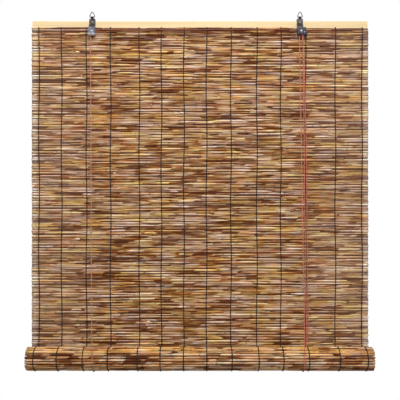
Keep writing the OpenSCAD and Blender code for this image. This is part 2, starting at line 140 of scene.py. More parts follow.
def noise(tree, place, detail, distortion=0.0):
    """A soft noise over a place."""
    made = add_node(tree, "ShaderNodeTexNoise", Vector=place, Scale=1.0, Detail=detail,
                    Distortion=distortion)
    return made.outputs["Fac"]


def ramp(tree, factor, stops):
    """A colour ramp through the given places and colours."""
    made = add_node(tree, "ShaderNodeValToRGB", i0=factor)
    band = made.color_ramp
    while len(band.elements) < len(stops):
        band.elements.new(0.5)
    for element, (place, colour) in zip(band.elements, stops):
        element.position = place
        element.color = colour
    return made.outputs[0]


def blend(tree, factor, first, second, mode="MIX"):
    """Two colours mixed by a factor."""
    options = {"data_type": "RGBA", "blend_type": mode}
    made = add_node(tree, "ShaderNodeMix", options, i0=factor, i6=first, i7=second)
    return made.outputs[2]


# %% Helpers for finishes
def new_finish(name):
    """A material with its principled shader, and its tree."""
    finish = bpy.data.materials.new(name)
    finish.use_nodes = True
    return finish, finish.node_tree, finish.node_tree.nodes["Principled BSDF"]


def attribute(tree, name):
    """A number that the mesh carries."""
    return add_node(tree, "ShaderNodeAttribute", {"attribute_name": name}).outputs["Fac"]


def own_coordinates(tree):
    """Object coordinates, which are the part's own."""
    return add_node(tree, "ShaderNodeTexCoord").outputs["Object"]


def mapped(tree, place, scale):
    """A place stretched by a scale for each axis."""
    return add_node(tree, "ShaderNodeMapping", Vector=place, Scale=scale).outputs[0]


def own_place(tree, scale):
    """Object coordinates, stretched."""
    return mapped(tree, own_coordinates(tree), scale)


def rough_skin(tree, shader, height, strength, distance):
    """Bump on a shader from a height."""
    bump = add_node(tree, "ShaderNodeBump", Strength=strength, Distance=distance, Height=height)
    tree.links.new(bump.outputs[0], shader.inputs["Normal"])


def coat_solid(node, finish):
    """A finish on one of the part's own solids."""
    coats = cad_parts[node].data.materials
    coats.clear()
    coats.append(finish)


# %% [markdown]
# ## Faded red cord
# The lift cords are cotton, twisted from red and paler yarn, faded by the sun. The colour follows the yarn:
# an attribute that runs along each cord makes the pale flecks come once a twist, and a fine noise makes the
# fluff. The left cord has bleached the most. The stretch that crosses under the head rail is a darker,
# duller brown-red, which is painted shade under the rail.

# %% Cord finish
HALF_TWIST = 5.2 * MM


def cord_yarn(name, deep, faded, pale):
    """Twisted cotton between two reds, with paler flecks once a twist."""
    finish, tree, shader = new_finish(name)
    beat = sums(tree, "PINGPONG", times(tree, attribute(tree, "run"), 1 / HALF_TWIST), 1.0)
    fleck = ranged(tree, beat, 0.62, 0.95, 0.0, 0.5)
    fluff = noise(tree, own_place(tree, (900, 900, 900)), 3.0)
    red = ramp(tree, fluff, [(0.3, deep), (0.7, faded)])
    tree.links.new(blend(tree, fleck, red, pale), shader.inputs["Base Color"])
    shader.inputs["Roughness"].default_value = 0.9
    shader.inputs["Sheen Weight"].default_value = 0.25
    rough_skin(tree, shader, fluff, 0.5, 0.4 * MM)
    return finish


cord_finish = cord_yarn("faded_red_cord", chart(182, 80, 58), chart(216, 120, 92), chart(236, 190, 160))
pale_finish = cord_yarn("bleached_red_cord", chart(164, 92, 64), chart(198, 134, 102), chart(228, 192, 160))
# The crossing stretch's darker, duller reds are painted shade under the head rail.
shaded_cord_finish = cord_yarn("shaded_red_cord", chart(116, 52, 36), chart(152, 86, 64), chart(176, 128, 102))
print("cord finishes:", cord_finish.name, pale_finish.name, shaded_cord_finish.name)

# %% [markdown]
# ## Wire and cord along a path
# A cord, a thread and a bent wire are all a round section carried along a path. Geometry Nodes do that well:
# the path comes in as a chain of edges, becomes a curve, and a lobed section is swept along it. The tilt of
# the curve grows with its length, so a section with lobes comes out as twisted yarn. The run along the curve
# is kept as an attribute for the finish.


# %% How a geometry tree starts and ends
def new_group(name, source, numbers, counts, result):
    """A geometry tree: a source, numbers, counts and a finish go in, and one result comes out."""
    made = bpy.data.node_groups.new(name, "GeometryNodeTree")
    sockets = made.interface
    sockets.new_socket(source, in_out="INPUT", socket_type="NodeSocketGeometry")
    for kind, starts in (("NodeSocketFloat", numbers), ("NodeSocketInt", counts)):
        for key, start in starts.items():
            sockets.new_socket(key, in_out="INPUT", socket_type=kind).default_value = start
    sockets.new_socket("Finish", in_out="INPUT", socket_type="NodeSocketMaterial")
    sockets.new_socket(result, in_out="OUTPUT", socket_type="NodeSocketGeometry")
    return made, made.nodes.new("NodeGroupInput").outputs


def close_group(tree, given, geometry):
    """Smooth faces and the finish on a geometry, as the tree's result."""
    smooth = add_node(tree, "GeometryNodeSetShadeSmooth", Geometry=geometry).outputs[0]
    dressed = add_node(tree, "GeometryNodeSetMaterial", Geometry=smooth, Material=given["Finish"])
    tree.links.new(dressed.outputs[0], tree.nodes.new("NodeGroupOutput").inputs[0])
    return tree


def store(tree, geometry, name, value):
    """A number kept on each point of a geometry."""
    kept = add_node(tree, "GeometryNodeStoreNamedAttribute", {"data_type": "FLOAT", "domain": "POINT"},
                    Geometry=geometry, Name=name, Value=value)
    return kept.outputs[0]


def each_place(tree):
    """Where each point is."""
    return add_node(tree, "GeometryNodeInputPosition").outputs[0]


# %% The tree that sweeps a section along a path
def sweep_tree():
    """A lobed section, swept along a path and turned on its way."""
    numbers = {"Radius": 0.0012, "Lobe": 0.0, "Twist per metre": 0.0}
    made, given = new_group("sweep_along_path", "Path", numbers, {"Sides": 9, "Lobes": 3}, "Tube")
    curve = add_node(made, "GeometryNodeMeshToCurve", Mesh=given["Path"]).outputs[0]
    along = add_node(made, "GeometryNodeSplineParameter").outputs
    kept = store(made, curve, "run", along["Length"])
    twists = times(made, along["Length"], given["Twist per metre"])
    tilt = times(made, twists, 2 * math.pi)
    twisted = add_node(made, "GeometryNodeSetCurveTilt", Curve=kept, Tilt=tilt).outputs[0]
    circle = add_node(made, "GeometryNodeCurvePrimitiveCircle", Resolution=given["Sides"],
                      Radius=given["Radius"]).outputs[0]
    lobes = times(made, along["Factor"], given["Lobes"])
    wave = sums(made, "COSINE", times(made, lobes, 2 * math.pi))
    swell = sums(made, "MULTIPLY_ADD", wave, given["Lobe"], sums(made, "SUBTRACT", 1.0, given["Lobe"]))
    lobed = add_node(made, "ShaderNodeVectorMath", {"operation": "SCALE"}, i0=each_place(made), Scale=swell)
    section = add_node(made, "GeometryNodeSetPosition", Geometry=circle, Position=lobed.outputs[0])
    tube = add_node(made, "GeometryNodeCurveToMesh", Curve=twisted, Profile_Curve=section.outputs[0],
                    Fill_Caps=True)
    whole = add_node(made, "GeometryNodeRealizeInstances", Geometry=tube.outputs[0]).outputs[0]
    return close_group(made, given, whole)


SWEEP = sweep_tree()
print("sweep tree:", len(SWEEP.nodes), "nodes")


# %% From a tree to a plain mesh
def grow(name, mesh, tree, **inputs):
    """Runs a tree on a mesh and keeps the result as a plain mesh of an object at the origin."""
    piece = bpy.data.objects.new(name, mesh)
    bpy.context.scene.collection.objects.link(piece)
    modifier = piece.modifiers.new("grow", "NODES")
    modifier.node_group = tree
    known = {s.name: s.identifier for s in tree.interface.items_tree if s.in_out == "INPUT"}
    for key, value in inputs.items():
        modifier[known[key.replace("_", " ")]] = value
    bpy.context.view_layer.update()
    depsgraph = bpy.context.evaluated_depsgraph_get()
    grown = bpy.data.meshes.new_from_object(piece.evaluated_get(depsgraph), preserve_all_data_layers=True,
                                            depsgraph=depsgraph)
    piece.modifiers.remove(modifier)
    piece.data = grown
    bpy.data.meshes.remove(mesh)
    grown.name = name
    return piece


def chains(name, paths, closed=False):
    """A mesh of edges through the points of each path."""
    points, edges = [], []
    for path in paths:
        first = len(points)
        points += [tuple(p) for p in path]
        edges += [(first + i, first + i + 1) for i in range(len(path) - 1)]
        if closed:
            edges.append((first + len(path) - 1, first))
    mesh = bpy.data.meshes.new(name)
    mesh.from_pydata(points, edges, [])
    return mesh


def triangles(piece):
    piece.data.calc_loop_triangles()
    return len(piece.data.loop_triangles)


# %% [markdown]
# ## Routes of the cords
# Each lift cord starts at a knot on the head rail, goes down behind the mat, under the roll, up the front
# and over a wheel in its hanger. The left one then crosses to the lock at the right, and both come down
# together to one knot. The routes repeat the part's own points, in metres. A smooth curve through the few
# points of a hanging stretch gives it the slight bows that the photograph shows. A lift cord is drawn as it
# lies on the raised roll and stretched to the roll's height here, so it lies on the reeds in both places.

# %% Sizes shared with the part
FIT = 0.3 * MM
CORD_D = 2.6 * MM
LIFT = 0.7439
WHEEL_R, WHEEL_RIM, GROOVE_PITCH = 4.2 * MM, 1.2 * MM, 3.4 * MM
SLING_R = 34.2 * MM
HOLE_Y, HOLE_TOP, BACK_TOP = -6 * MM, 15 * MM, -30 * MM


def middle(node):
    """The middle of a solid's box."""
    low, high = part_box(node)
    return (low + high) / 2


AXIS = middle("bottom_rod")
LEFT_AXLE, RIGHT_AXLE = middle("left_wheel"), middle("right_wheel")
AXLE_Z = LEFT_AXLE.z
LEAVE_Z = AXLE_Z - WHEEL_R - WHEEL_RIM
REAR_Y, FRONT_Y = RIGHT_AXLE.y + GROOVE_PITCH / 2, RIGHT_AXLE.y - GROOVE_PITCH / 2
KNOT = middle("pull_knot")
KNOT_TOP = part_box("pull_knot")[1].z + FIT
print("axis of the roll", [round(v, 4) for v in AXIS], "axles at", round(AXLE_Z, 4))

# %% Routes of the lift cords
PATH_STEP = 3 * MM
TOUCH_STEPS, SLING_STEPS = 12, 48


def even(points):
    """Points at even steps on the straight runs of a route."""
    made = []
    for a, b in zip(points, points[1:]):
        count = max(1, math.ceil((b - a).length / PATH_STEP))
        made += [a.lerp(b, k / count) for k in range(count)]
    return made + [points[-1]]


def wheel_arc(x, y, start, end, count=12):
    """A cord's way in a groove, between two angles."""
    turns = [math.radians(start + (end - start) * i / count) for i in range(count + 1)]
    return [Vector((x + WHEEL_R * math.cos(t), y, AXLE_Z + WHEEL_R * math.sin(t))) for t in turns]


def sling_point(x, turn):
    """A point of the sling under the roll; the turn starts at the back and goes down."""
    return Vector((x, AXIS.y + SLING_R * math.cos(turn), AXIS.z - SLING_R * math.sin(turn)))


def leave_turn(axis_z):
    """The turn at which a cord from its groove meets a sling round a roll at that height."""
    reach = Vector((REAR_Y - AXIS.y, LEAVE_Z - axis_z))
    return 2 * math.pi - math.atan2(reach.y, reach.x) - math.acos(SLING_R / reach.length)


LEAVE, LEAVE_UP = leave_turn(AXIS.z), leave_turn(AXIS.z + LIFT)


def lift_route(sling_x, wheel_x):
    """A lift cord's way on the raised roll, stretched to the roll's height at rest."""
    start, end = Vector((wheel_x - WHEEL_R, REAR_Y, LEAVE_Z)), sling_point(sling_x, LEAVE)
    drop = start.z - end.z
    made = [start]
    for i in range(TOUCH_STEPS + 1):
        touch = sling_point(sling_x, LEAVE_UP + (LEAVE - LEAVE_UP) * i / TOUCH_STEPS)
        share = (start.z - touch.z - LIFT) / (drop - LIFT)
        made.append(Vector((start.x + (end.x - start.x) * share, touch.y, start.z - drop * share)))
    return even(made)


def back_route(sling_x, hole_x):
    """A cord's way down behind the mat."""
    return even([Vector((hole_x, HOLE_Y, BACK_TOP)), sling_point(sling_x, 0)])


def sling_route(x):
    """A cord's way under the roll."""
    return [sling_point(x, LEAVE * i / SLING_STEPS) for i in range(SLING_STEPS + 1)]


OVER_LEFT = wheel_arc(LEFT_AXLE.x, REAR_Y, 180, 90)
OVER_RIGHT = wheel_arc(RIGHT_AXLE.x, FRONT_Y, 90, 0)
CROSSING = OVER_LEFT[:-1] + even([OVER_LEFT[-1], OVER_RIGHT[0]]) + OVER_RIGHT[1:]
print("lift cord leaves its sling at", round(math.degrees(LEAVE), 1), "degrees")

# %% Routes of the pull cords
PULL_X, PULL_SIDE = RIGHT_AXLE.x + WHEEL_R, 11 * MM
MOUTH_Z, MAT_FRONT = -30.6 * MM, -20.6 * MM


def smooth_path(route):
    """Points at even steps on a smooth curve through a route's points."""
    made = []
    for i in range(len(route) - 1):
        a, b = route[max(i - 1, 0)], route[i]
        c, d = route[i + 1], route[min(i + 2, len(route) - 1)]
        count = max(2, math.ceil((c - b).length / PATH_STEP))
        for k in range(count):
            t = k / count
            made.append(0.5 * ((2 * b) + (c - a) * t + (2 * a - 5 * b + 4 * c - d) * t ** 2
                               + (3 * b - a - 3 * c + d) * t ** 3))
    return made + [route[-1]]


def pull_route(groove_y, shares, end_share):
    """A pull cord's way from the lock's mouth to its knot.

    Each of its points has a share of the way down, one across, and cord widths off the mat.
    """
    route = [Vector((PULL_X, groove_y, MOUTH_Z))]
    for down, across, off in shares:
        z = MOUTH_Z + down * (KNOT_TOP - MOUTH_Z)
        route.append(Vector((PULL_X + across * PULL_SIDE, MAT_FRONT - off * CORD_D, z)))
    route.append(Vector((PULL_X + end_share * PULL_SIDE, KNOT.y, KNOT_TOP)))
    return smooth_path(route)


PULL_FRONT = pull_route(FRONT_Y, [
    (0.03, 0.06, 2.7), (0.1, 0.15, 2.5), (0.2, 0.25, 2.3), (0.33, 0.34, 2.3), (0.45, 0.43, 2.3),
    (0.58, 0.53, 2.3), (0.7, 0.62, 2.3), (0.82, 0.72, 2.3), (0.92, 0.81, 2.3), (0.975, 0.87, 2.2)], 0.88)
PULL_REAR = pull_route(REAR_Y, [
    (0.03, 0.15, 1.2), (0.1, 0.43, 1.1), (0.2, 0.62, 1), (0.33, 0.81, 1), (0.45, 0.96, 1),
    (0.58, 1.08, 1), (0.7, 1.18, 1), (0.82, 1.26, 1), (0.92, 1.3, 1.1), (0.975, 1.25, 1.4)], 1.2)
print("points on the pull cords:", len(PULL_FRONT), len(PULL_REAR))


# %% The cords
def run_length(path):
    return sum((b - a).length for a, b in zip(path, path[1:]))


def lay_cord(name, body, node, path, shortens=False, finish=cord_finish):
    """One stretch of twisted cord in place of its plain solid."""
    piece = grow(name, chains(name, [path]), SWEEP, Radius=CORD_D / 2, Lobe=0.09, Twist_per_metre=96.0,
                 Sides=9, Lobes=3, Finish=finish)
    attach(piece, body)
    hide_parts(node)
    if shortens:
        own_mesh(piece)
    print(name, round(run_length(path), 3), "m", triangles(piece), "triangles")


for side, wheel, yarn in (("left", LEFT_AXLE, pale_finish), ("right", RIGHT_AXLE, cord_finish)):
    sling_x, hole_x = middle(side + "_sling").x, middle(side + "_stop_knot").x
    front = lift_route(sling_x, wheel.x)
    in_groove = [Vector((wheel.x - WHEEL_R, REAR_Y, AXLE_Z)), front[0]]
    lay_cord(side + "_groove_yarn", "frame", side + "_lift_cord", in_groove)
    lay_cord(side + "_lift_yarn", "frame", side + "_lift_cord", front, shortens=True, finish=yarn)
    back = back_route(sling_x, hole_x)
    lay_cord(side + "_back_yarn", "frame", side + "_back_cord", back, shortens=True)
    through = even([Vector((hole_x, HOLE_Y, HOLE_TOP)), back[0]])
    lay_cord(side + "_rail_yarn", "frame", side + "_back_cord", through)
    lay_cord(side + "_sling_yarn", "slings", side + "_sling", sling_route(sling_x), finish=yarn)

lay_cord("crossing_yarn", "frame", "crossing_cord", CROSSING, finish=shaded_cord_finish)
lock_bend = wheel_arc(RIGHT_AXLE.x, REAR_Y, 180, 0, 18)
lay_cord("lock_bend_yarn", "frame", "lock_cord_bend", lock_bend)

# %% [markdown]
# ## Knots
# An overhand knot pulled tight is a trefoil: the cord goes round three times and passes through itself. Its
# known curve, swept with the same yarn, reads as a knot from every side, where a plain ball would not.

# %% Knots
KNOT_STEPS = 72


def tie_knot(name, body, node, size, thick):
    """A trefoil knot of yarn in the middle of its plain solid."""
    centre = middle(node)
    points = []
    for i in range(KNOT_STEPS):
        t = 2 * math.pi * i / KNOT_STEPS
        points.append(centre + size * Vector((math.sin(t) + 2 * math.sin(2 * t), -1.1 * math.sin(3 * t),
                                              math.cos(t) - 2 * math.cos(2 * t))))
    piece = grow(name, chains(name, [points], closed=True), SWEEP, Radius=thick / 2, Lobe=0.09,
                 Twist_per_metre=90.0, Sides=10, Lobes=3, Finish=cord_finish)
    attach(piece, body)
    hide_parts(node)
    print(name, "at", [round(v, 4) for v in centre], triangles(piece), "triangles")
    return piece


pull_knot = tie_knot("pull_cord_knot", "slings", "pull_knot", 1.15 * MM, 2.6 * MM)
for side in ("left", "right"):
    tie_knot(side + "_rail_knot", "frame", side + "_stop_knot", 0.72 * MM, 2.0 * MM)

for place, path, on_it in (("front", PULL_FRONT, [pull_knot]), ("rear", PULL_REAR, [])):
    in_lock = [Vector((path[0].x, path[0].y, AXLE_Z - FIT)), path[0]]
    lay_cord("lock_yarn_" + place, "frame", "pull_cord_" + place, in_lock)
    lay_cord("pull_yarn_" + place, "frame", "pull_cord_" + place, path, shortens=True)

# %% [markdown]
# ## Reed skin
# No two stems of the mat are alike: tan, rosy, plum, golden, and some nearly black with age. Each stem
# carries two numbers of its own, tone and hue. Its tone, a slow fade along it, fine fibres, wider strands
# and the dark stretches that old leaf sheaths leave behind pick a place on a ramp of stem colours. The
# stretches are cells of a noise along the stem, with slanting ends. Stems side by side mostly share a cast,
# so the rosy and the plum ones lie in drifts, and a slower noise turns patches golden. Joints ring the stem
# now and then, and the cut ends are dark. The hanging mat is paler towards its sides, partly in its stems
# and partly as painted light from the white background. The roll shows the back of the mat, which the sun
# has not faded: it is more golden. Its top is more golden still, as painted light from above.

# %% Reed finishes
STEM_RAMP = [
    (0.00, chart(86, 42, 11)), (0.14, chart(128, 77, 38)), (0.30, chart(162, 118, 85)),
    (0.46, chart(188, 153, 128)), (0.62, chart(203, 171, 148)), (0.78, chart(215, 186, 166)),
    (1.00, chart(240, 216, 198))]
ROSY, GOLD, PLUM = chart(255, 231, 209), chart(255, 249, 172), chart(122, 94, 104)
# The pale side tint and the bluish margin lift are partly the stems' own, partly painted light from the
# white background.
SIDE_PALE, MARGIN_LIGHT = chart(250, 228, 206), (0.3, 0.385, 0.48, 1)
JOINT_BROWN, CUT_BROWN = chart(92, 58, 36), chart(86, 54, 34)
RAMP_MIDDLE = 0.508
STEM_APART, JOINT_GAP, SHEATHS_A_METRE = 37.0, 0.11, 19.0
FADE_SCALE, FIBRE_SCALE, STRAND_SCALE = (18, 57, 0), (30, 16, 31), (14, 4.6, 83)
DRIFT_SCALE, PATCH_SCALE = (22, 75, 75), (16, 44, 44)
SIDES, MARGIN = (0.26, 0.43), (0.432, 0.441)


def reed_skin(name, gold, lit_from, rosy, contrast, side_pale):
    """Reed colours.

    gold is the span of the patches' noise over which stems turn golden, half as much below lit_from, so that
    the part above it is more golden as painted light from above. rosy is the cast from which they blush,
    contrast the weight of the sheaths, and side_pale how pale the sides are, partly as painted light.
    """
    finish, tree, shader = new_finish(name)
    tone, hue, tip, ring = (attribute(tree, a) for a in ("tone", "hue", "tip", "around"))
    own = parts_of(tree, own_coordinates(tree))

    # Noises along the stem, from another place for each stem.
    stem_x = sums(tree, "MULTIPLY_ADD", hue, STEM_APART, own["X"])
    on_stem = vector(tree, stem_x, ring, tone)
    fade = noise(tree, mapped(tree, vector(tree, stem_x, tone), FADE_SCALE), 2.0)
    fibre = noise(tree, mapped(tree, on_stem, FIBRE_SCALE), 3.0)
    strand = noise(tree, mapped(tree, on_stem, STRAND_SCALE), 1.0)
    slant = sums(tree, "MULTIPLY_ADD", ring, 0.5, times(tree, stem_x, SHEATHS_A_METRE))
    cell = add_node(tree, "ShaderNodeTexVoronoi", {"voronoi_dimensions": "1D"}, W=slant, Scale=1.0)
    sheath = sums(tree, "POWER", parts_of(tree, cell.outputs["Color"])["X"], 0.5)

    # Each of them moves the place on the ramp by its weight, around its own mean.
    place = RAMP_MIDDLE
    for value, mean, weight in ((tone, 0.5, 0.17), (sheath, 0.667, contrast), (fade, 0.5, 0.9),
                                (fibre, 0.5, 0.5), (strand, 0.5, 1.5)):
        place = sums(tree, "MULTIPLY_ADD", sums(tree, "SUBTRACT", value, mean), weight, place)
    stem = ramp(tree, place, STEM_RAMP)

    # Rosy and plum drifts, and golden patches.
    drift = ranged(tree, noise(tree, own_place(tree, DRIFT_SCALE), 1.0), 0.3, 0.7, 0.0, 0.68)
    cast = sums(tree, "MULTIPLY_ADD", hue, 0.32, drift)
    blushed = blend(tree, 1.0, stem, ROSY, "MULTIPLY")
    stem = blend(tree, ranged(tree, cast, rosy, rosy + 0.2), stem, blushed)
    stem = blend(tree, ranged(tree, cast, 0.38, 0.08, 0.0, 0.34), stem, PLUM)
    golden = blend(tree, 1.0, stem, GOLD, "MULTIPLY")
    patch = sums(tree, "MULTIPLY_ADD", hue, 0.12, noise(tree, own_place(tree, PATCH_SCALE), 2.0))
    # Stems are fully golden only above the given height, half as much below: painted light on the roll's
    # top.
    above = ranged(tree, own["Z"], lit_from, lit_from + 12 * MM, 0.5)
    skin = blend(tree, times(tree, ranged(tree, patch, *gold), above), stem, golden)

    # Paler sides, with the margins outside the last threads the palest and bluish: partly paler stems,
    # partly painted light from the white background.
    reach = sums(tree, "ABSOLUTE", own["X"])
    margin = ranged(tree, reach, *MARGIN, 0.0, side_pale)
    faded = sums(tree, "MULTIPLY_ADD", margin, 0.04, ranged(tree, reach, *SIDES, 0.0, 0.07 * side_pale))
    skin = blend(tree, faded, skin, SIDE_PALE)
    skin = blend(tree, margin, skin, MARGIN_LIGHT, "DODGE")

    # Joints and cut ends.
    beat = sums(tree, "PINGPONG", times(tree, stem_x, 1 / JOINT_GAP), 1.0)
    skin = blend(tree, ranged(tree, beat, 0.035, 0.0, 0.0, 0.55), skin, JOINT_BROWN)
    skin = blend(tree, ranged(tree, tip, 0.985, 1.0, 0.0, 0.7), skin, CUT_BROWN)
    tree.links.new(skin, shader.inputs["Base Color"])
    tree.links.new(ranged(tree, fibre, 0.0, 1.0, 0.5, 0.75), shader.inputs["Roughness"])
    shader.inputs["Specular IOR Level"].default_value = 0.15
    rough_skin(tree, shader, fibre, 0.35, 0.6 * MM)
    print(name, len(tree.nodes), "nodes")
    return finish


BELOW_ALL = -2.0
# Above this height the roll's stems get their full gold, as painted light from above on its top.
LIT_FROM_Z = AXIS.z + 12 * MM
reed_finish = reed_skin("reed_skin", gold=(0.4, 0.76), lit_from=BELOW_ALL, rosy=0.57, contrast=0.86,
                        side_pale=1.0)
roll_finish = reed_skin("roll_reed_skin", gold=(0.3, 0.68), lit_from=LIT_FROM_Z, rosy=0.3, contrast=1.08,
                        side_pale=0.0)

# %% [markdown]
# ## Laying the reeds
# A mat of this kind is rows of stems, and each row is a few stems of uneven length laid end to end. One
# Geometry Nodes tree does it for the hanging mat and for the roll: a point for each row comes in, is doubled
# once for each stem, and a random number for each joint between two stems says where one ends and the next
# begins. A tapered stem is put there, and a soft noise bends it a little. The row's lean turns those small
# shifts with the row, so the same tree works round the roll.

# %% The tree that lays stems in rows
STEM_NUMBERS = {"Width": 0.9, "Reed radius": 0.003, "Radius spread": 0.2, "Shift": 0.001, "Lap": 0.02,
                "Bend": 0.001, "Edge spread": 0.005, "Joint spread": 0.9, "Tone low": 0.0, "Tone high": 1.0,
                "Taper": 0.6}
STEM_COUNTS = {"Stems": 5, "Sides": 8, "Segments": 8, "Seed": 7}
KEYS_A_ROW = 16.0
JOINT_SEED, RADIUS_SEED, UP_SEED, OUT_SEED, TONE_SEED, HUE_SEED = 11, 23, 31, 43, 57, 71


def carried(tree, name):
    """A number that the points carry."""
    return add_node(tree, "GeometryNodeInputNamedAttribute", {"data_type": "FLOAT"}, Name=name).outputs[0]


def unit_stem(tree, given, taper_start, taper_end):
    """A stem of unit size along X that narrows towards the ends that meet another stem."""
    shape = add_node(tree, "GeometryNodeMeshCylinder", {"fill_type": "TRIANGLE_FAN"}, Radius=1.0, Depth=1.0,
                     Vertices=given["Sides"], Side_Segments=given["Segments"]).outputs["Mesh"]
    spot = parts_of(tree, each_place(tree))
    half = times(tree, sums(tree, "ABSOLUTE", spot["Z"]), 2.0)
    around = sums(tree, "DIVIDE", sums(tree, "ARCTAN2", spot["Y"], spot["X"]), 2 * math.pi)
    shape = store(tree, store(tree, shape, "tip", half), "around", around)
    past = sums(tree, "GREATER_THAN", spot["Z"], 0.0)
    chosen = sums(tree, "MULTIPLY_ADD", past, float(taper_end - taper_start), float(taper_start))
    near = times(tree, ranged(tree, half, 0.75, 1.0, way="SMOOTHSTEP"), chosen)
    loss = times(tree, near, sums(tree, "SUBTRACT", 1.0, given["Taper"]))
    narrow = sums(tree, "SUBTRACT", 1.0, loss)
    tapered = vector(tree, times(tree, spot["X"], narrow), times(tree, spot["Y"], narrow), spot["Z"])
    shape = add_node(tree, "GeometryNodeSetPosition", Geometry=shape, Position=tapered).outputs[0]
    lying = add_node(tree, "GeometryNodeTransform", Geometry=shape, Rotation=(0.0, math.pi / 2, 0.0))
    return lying.outputs[0]


def stem_tree():
    """Stems of uneven length, laid end to end in rows."""
    made, given = new_group("lay_stems_in_rows", "Rows", STEM_NUMBERS, STEM_COUNTS, "Stems")

    def draw(low, high, ident, offset):
        """A random number for an identity, from its own seed."""
        seed = sums(made, "ADD", given["Seed"], offset)
        drawn = add_node(made, "FunctionNodeRandomValue", {"data_type": "FLOAT"}, i2=low, i3=high, ID=ident,
                         Seed=seed)
        return drawn.outputs[1]

    def leaned(shift):
        """A small shift turned with the row."""
        turned = add_node(made, "ShaderNodeVectorRotate", {"rotation_type": "X_AXIS"}, Vector=shift,
                          Angle=carried(made, "lean"))
        return turned.outputs[0]

    doubled = add_node(made, "GeometryNodeDuplicateElements", {"domain": "POINT"}, Geometry=given["Rows"],
                       Amount=given["Stems"])
    k = doubled.outputs["Duplicate Index"]
    key = sums(made, "MULTIPLY_ADD", carried(made, "row"), KEYS_A_ROW, k)
    loose = sums(made, "DIVIDE", times(made, given["Joint spread"], given["Width"]), given["Stems"])
    tighter = sums(made, "SUBTRACT", given["Edge spread"], loose)

    def joint(ident, number, is_edge):
        """Where a joint between two stems lies across the mat."""
        reach = sums(made, "MULTIPLY_ADD", is_edge, tighter, loose)
        share = sums(made, "SUBTRACT", sums(made, "DIVIDE", number, given["Stems"]), 0.5)
        even_x = times(made, share, given["Width"])
        return sums(made, "MULTIPLY_ADD", draw(-0.5, 0.5, ident, JOINT_SEED), reach, even_x)

    # Where each stem starts and ends; it laps over its neighbours in the row.
    at_start = sums(made, "COMPARE", k, 0.0, 0.1)
    at_end = sums(made, "COMPARE", k, sums(made, "SUBTRACT", given["Stems"], 1.0), 0.1)
    start_x = joint(key, k, at_start)
    end_x = joint(sums(made, "ADD", key, 1.0), sums(made, "ADD", k, 1.0), at_end)
    start_x = sums(made, "MULTIPLY_ADD", sums(made, "SUBTRACT", at_start, 1.0), given["Lap"], start_x)
    end_x = sums(made, "MULTIPLY_ADD", sums(made, "SUBTRACT", 1.0, at_end), given["Lap"], end_x)
    middle_x = times(made, sums(made, "ADD", start_x, end_x), 0.5)
    length = sums(made, "SUBTRACT", end_x, start_x)

    # Its thickness, its small shift and its two numbers.
    spread = sums(made, "MULTIPLY_ADD", draw(-1.0, 0.35, key, RADIUS_SEED), given["Radius spread"], 1.0)
    radius = times(made, given["Reed radius"], spread)
    up = times(made, draw(-0.5, 0.5, key, UP_SEED), given["Shift"])
    out = times(made, draw(-0.5, 0.5, key, OUT_SEED), times(made, given["Shift"], 0.6))
    shift = leaned(vector(made, 0.0, out, up))
    offset = add_node(made, "ShaderNodeVectorMath", {"operation": "ADD"}, i0=shift,
                      i1=vector(made, middle_x)).outputs[0]
    placed = add_node(made, "GeometryNodeSetPosition", Geometry=doubled.outputs[0], Offset=offset).outputs[0]
    tone_span = sums(made, "SUBTRACT", given["Tone high"], given["Tone low"])
    tone = sums(made, "MULTIPLY_ADD", draw(0.0, 1.0, key, TONE_SEED), tone_span, given["Tone low"])
    for name, value in (("tone", tone), ("hue", draw(0.0, 1.0, key, HUE_SEED)), ("stem", key)):
        placed = store(made, placed, name, value)

    # The stems themselves, in three kinds by the ends that taper.
    size = vector(made, length, radius, radius)
    within = sums(made, "SUBTRACT", sums(made, "SUBTRACT", 1.0, at_start), at_end)
    laid = add_node(made, "GeometryNodeJoinGeometry")
    for chosen, tapers in ((at_start, (0, 1)), (within, (1, 1)), (at_end, (1, 0))):
        part = add_node(made, "GeometryNodeInstanceOnPoints", Points=placed, Selection=chosen,
                        Instance=unit_stem(made, given, *tapers), Scale=size)
        made.links.new(part.outputs[0], laid.inputs[0])
    whole = add_node(made, "GeometryNodeRealizeInstances", Geometry=laid.outputs[0]).outputs[0]

    # A soft bend along each stem.
    wander = vector(made, times(made, parts_of(made, each_place(made))["X"], 8.0),
                    times(made, carried(made, "stem"), 3.7))
    bow = times(made, sums(made, "SUBTRACT", noise(made, wander, 1.0), 0.5), given["Bend"])
    bend = leaned(vector(made, 0.0, 0.0, bow))
    bent = add_node(made, "GeometryNodeSetPosition", Geometry=whole, Offset=bend)
    return close_group(made, given, bent.outputs[0])


STEMS = stem_tree()
print("stem tree:", len(STEMS.nodes), "nodes")


def row_points(name, rows):
    """Points for the rows: each has a place, a number and a lean."""
    mesh = bpy.data.meshes.new(name)
    mesh.from_pydata([place for place, _, _ in rows], [], [])
    for key, index in (("row", 1), ("lean", 2)):
        values = mesh.attributes.new(key, "FLOAT", "POINT")
        values.data.foreach_set("value", [float(r[index]) for r in rows])
    return mesh


# %% [markdown]
# ## The hanging mat
# The rows of the mat keep the part's pitch. Stems lie behind the joints between the rows, as they do in a
# real mat, and close it to the light; they are coloured far darker than the front stems, as painted shade in
# those joints. When the roll climbs, it takes up the mat from below, so the rows that never reach the roll
# are one piece that stays, and the rest is a piece that shortens towards it.

# %% The hanging mat
MAT_W = 0.9
MAT_Y, DARK_Y = -16.3 * MM, -16.0 * MM
MAT_TOP = -4 * MM
ROWS = 125
PITCH = (MAT_TOP - AXIS.z) / ROWS
REED_R = 3 * MM
KEPT_ROWS = 19
DARK_ROW, ROLL_ROW = 400, 200
SHOWN_STEMS = {"Lap": 7 * MM, "Edge_spread": 1.6 * MM, "Joint_spread": 1.4, "Stems": 10, "Sides": 7,
               "Segments": 5, "Seed": 7}


def join(name, parts):
    """Several meshes as one object."""
    with bpy.context.temp_override(active_object=parts[0], object=parts[0], selected_objects=parts,
                                   selected_editable_objects=parts):
        bpy.ops.object.join()
    parts[0].name = name
    parts[0].data.name = name
    return parts[0]


